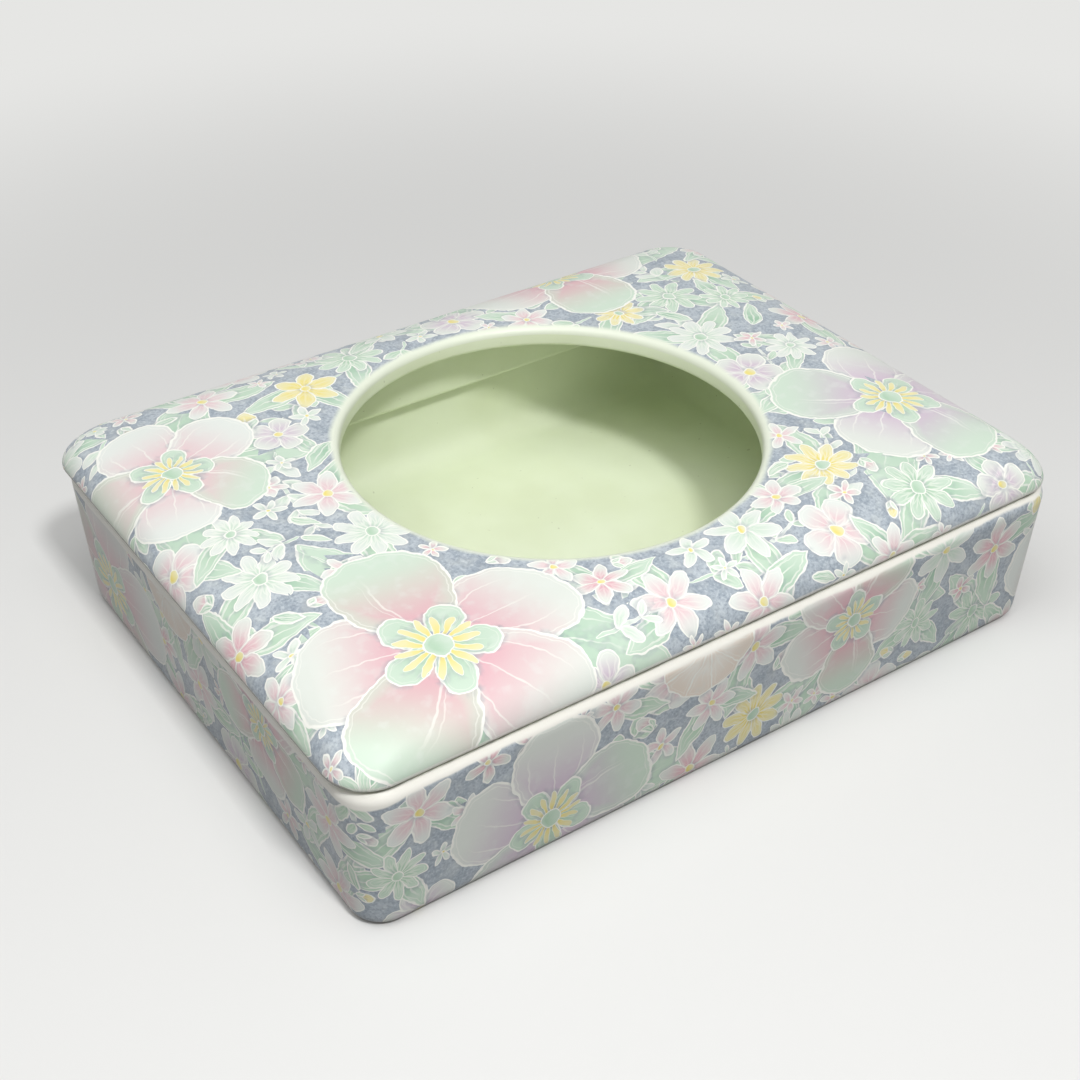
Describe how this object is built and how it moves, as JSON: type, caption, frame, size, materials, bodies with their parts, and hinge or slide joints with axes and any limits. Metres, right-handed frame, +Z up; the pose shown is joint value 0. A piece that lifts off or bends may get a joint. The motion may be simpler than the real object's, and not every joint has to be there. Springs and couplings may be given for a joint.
{
  "type": "pocket tissue case",
  "caption": "Low rectangular glazed ceramic box with a loose lift-off lid, which has a large round opening for drawing tissues from a pocket pack kept inside.",
  "frame": {"origin": "middle of the face that the case rests on, below the middle of the base", "axes": "+X along the case's length, +Z up, out through the opening in the lid"},
  "size_m": [0.141, 0.1066, 0.0362],
  "materials": {
    "base_glaze": "satin glaze with a pastel floral print on a slate blue ground outside, a bare cream rim, and plain pale green glaze inside",
    "lid_glaze": "satin glaze with a pastel floral print on a slate blue ground outside, and plain pale green glaze on the lip, the throat, the underside and the flange"
  },
  "bodies": {
    "base": {"base": "base_glaze"},
    "lid": {"lid": "lid_glaze"}
  },
  "joints": [
    {"name": "lid_lift", "type": "slide", "parent": "base", "child": "lid", "axis": [0, 0, 1], "range_m": [0, 0.045]}
  ]
}
